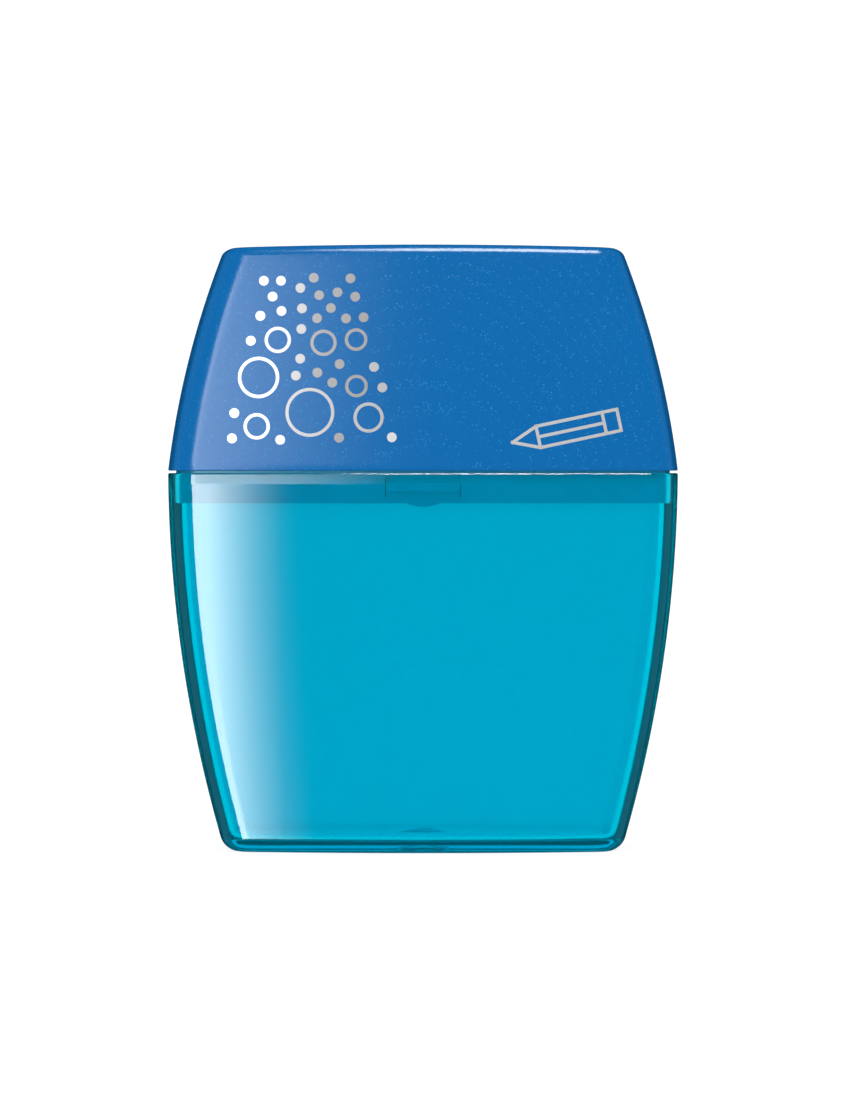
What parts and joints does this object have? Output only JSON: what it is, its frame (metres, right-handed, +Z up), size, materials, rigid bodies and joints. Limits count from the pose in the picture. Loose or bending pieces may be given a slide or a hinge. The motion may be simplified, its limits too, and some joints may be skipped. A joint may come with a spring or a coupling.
{
  "type": "canister pencil sharpener",
  "caption": "Hand-held two-hole pencil sharpener: an opaque lid with standard and jumbo holes snaps onto a translucent shavings reservoir with bowed sides.",
  "frame": {"origin": "centre of the resting face under the reservoir", "axes": "+Z up along the pencil holes, +X to the right seen from the printed front, +Y towards the back"},
  "size_m": [0.0552, 0.027, 0.065],
  "materials": {
    "clear_cyan": "polished translucent cyan polystyrene",
    "satin_blue": "fine satin texture with small glitter flecks",
    "frame_plastic": "moulded, satin",
    "insert_plastic": "moulded, fine matt",
    "blade_steel": "ground, with a bright bevel",
    "screw_steel": "zinc plated",
    "foil": "hot-stamped silver foil"
  },
  "bodies": {
    "reservoir": {"reservoir": "clear_cyan"},
    "lid": {"lid_shell": "satin_blue", "inner_frame": "frame_plastic", "sharpener_insert": "insert_plastic", "standard_blade": "blade_steel", "jumbo_blade": "blade_steel", "standard_blade_screw": "screw_steel", "jumbo_blade_screw": "screw_steel"}
  },
  "joints": [
    {"name": "lid_lift", "type": "slide", "parent": "reservoir", "child": "lid", "axis": [0, 0, 1], "range_m": [0, 0.025]}
  ]
}
